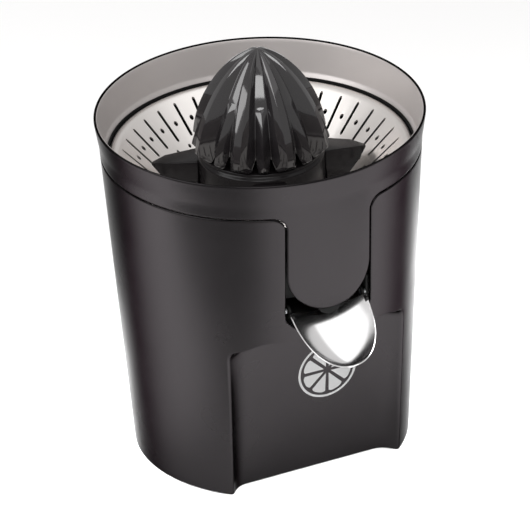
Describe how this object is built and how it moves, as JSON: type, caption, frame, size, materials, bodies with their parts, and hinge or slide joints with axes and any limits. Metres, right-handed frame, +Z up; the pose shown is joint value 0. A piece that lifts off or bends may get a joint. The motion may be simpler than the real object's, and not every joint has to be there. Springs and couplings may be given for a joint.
{
  "type": "electric citrus press",
  "caption": "Round tapered electric citrus press with a ribbed reamer cone, perforated strainer, lift-off juice collector and tilting front spout over a cup recess.",
  "frame": {"origin": "on the vertical drive axis at the height of the table", "axes": "+Z up along the drive axis, -Y towards the spout and cup recess, +X to the right as seen from the front"},
  "size_m": [0.175, 0.1933, 0.2287],
  "materials": {
    "anthracite": "satin metallic lacquer",
    "stainless": "satin",
    "polished_steel": "polished",
    "gloss_black": "gloss",
    "black_plastic": "matte",
    "rubber": "matte",
    "lamination": "stacked sheet steel",
    "copper": "enamelled copper wire",
    "bronze": "sintered bronze",
    "nylon": "natural nylon",
    "zinc": "zinc plated"
  },
  "bodies": {
    "base": {"housing": "anthracite", "base_cover": "black_plastic", "foot_front_left": "rubber", "foot_front_right": "rubber", "foot_rear_left": "rubber", "foot_rear_right": "rubber", "cover_screw_1": "zinc", "cover_screw_2": "zinc", "cover_screw_3": "zinc", "cover_screw_4": "zinc", "cord_gland": "rubber", "deck": "black_plastic", "shaft_seal": "rubber", "gear_plate_lower": "zinc", "gear_plate_upper": "zinc", "gearbox_post_1": "zinc", "gearbox_post_2": "zinc", "gearbox_post_3": "zinc", "gearbox_post_4": "zinc", "gearbox_screw_1": "zinc", "gearbox_screw_2": "zinc", "gearbox_screw_3": "zinc", "gearbox_screw_4": "zinc", "output_bushing": "bronze", "idler_axle": "zinc", "bearing_bridge": "zinc", "start_switch": "black_plastic", "motor_stator": "lamination", "motor_coil": "copper", "motor_bracket_upper": "zinc", "motor_bracket_lower": "zinc", "rotor_bushing_upper": "bronze", "rotor_bushing_lower": "bronze"},
    "button": {"switch_button": "nylon"},
    "rotor": {"rotor_core": "lamination", "rotor_shaft": "zinc", "motor_pinion": "bronze"},
    "idler": {"idler_gear": "nylon"},
    "output": {"output_gear": "nylon", "return_spring": "zinc"},
    "shaft": {"drive_shaft": "zinc", "shaft_clip": "zinc"},
    "collector": {"collector_shell": "anthracite", "collector_liner": "stainless", "juice_bowl": "black_plastic", "spout_pin_left": "zinc", "spout_pin_right": "zinc"},
    "pouring_spout": {"spout": "polished_steel"},
    "strainer_basket": {"strainer": "stainless"},
    "pulp_sweeper": {"sweeper": "gloss_black"},
    "hub": {"drive_hub": "black_plastic"},
    "cone": {"reamer_cone": "gloss_black"}
  },
  "joints": [
    {"name": "drive_spin", "type": "hinge", "parent": "base", "child": "output", "pos_m": [0, 0, 0.065], "axis": [0, 0, 1], "continuous": true},
    {"name": "rotor_spin", "type": "hinge", "parent": "base", "child": "rotor", "pos_m": [0, 0.012, 0.026], "axis": [0, 0, 1], "continuous": true},
    {"name": "idler_spin", "type": "hinge", "parent": "base", "child": "idler", "pos_m": [0, 0.036, 0.052], "axis": [0, 0, 1], "continuous": true},
    {"name": "shaft_press", "type": "slide", "parent": "output", "child": "shaft", "axis": [0, 0, 1], "range_m": [-0.001, 0], "stiffness_N_per_m": 1500, "springref_m": 0.004, "deforming": ["return_spring"]},
    {"name": "button_press", "type": "slide", "parent": "base", "child": "button", "axis": [0, 0, 1], "range_m": [-0.001, 0]},
    {"name": "collector_lift", "type": "slide", "parent": "base", "child": "collector", "axis": [0, 0, 1], "range_m": [0, 0.12]},
    {"name": "spout_tip", "type": "hinge", "parent": "collector", "child": "pouring_spout", "pos_m": [0, -0.0723, 0.1137], "axis": [-1, 0, 0], "range_deg": [0, 13]},
    {"name": "strainer_lift", "type": "slide", "parent": "collector", "child": "strainer_basket", "axis": [0, 0, 1], "range_m": [0, 0.08]},
    {"name": "sweeper_spin", "type": "hinge", "parent": "strainer_basket", "child": "pulp_sweeper", "pos_m": [0, 0, 0.155], "axis": [0, 0, 1], "continuous": true},
    {"name": "hub_press", "type": "slide", "parent": "pulp_sweeper", "child": "hub", "axis": [0, 0, 1], "range_m": [-0.001, 0]},
    {"name": "cone_lift", "type": "slide", "parent": "hub", "child": "cone", "axis": [0, 0, 1], "range_m": [0, 0.08]}
  ],
  "couplings": [
    {"joint": "rotor_spin", "follows": "drive_spin", "ratio": 20},
    {"joint": "idler_spin", "follows": "drive_spin", "ratio": -4},
    {"joint": "sweeper_spin", "follows": "drive_spin", "ratio": 1},
    {"joint": "button_press", "follows": "shaft_press", "ratio": 1},
    {"joint": "hub_press", "follows": "shaft_press", "ratio": 1}
  ]
}
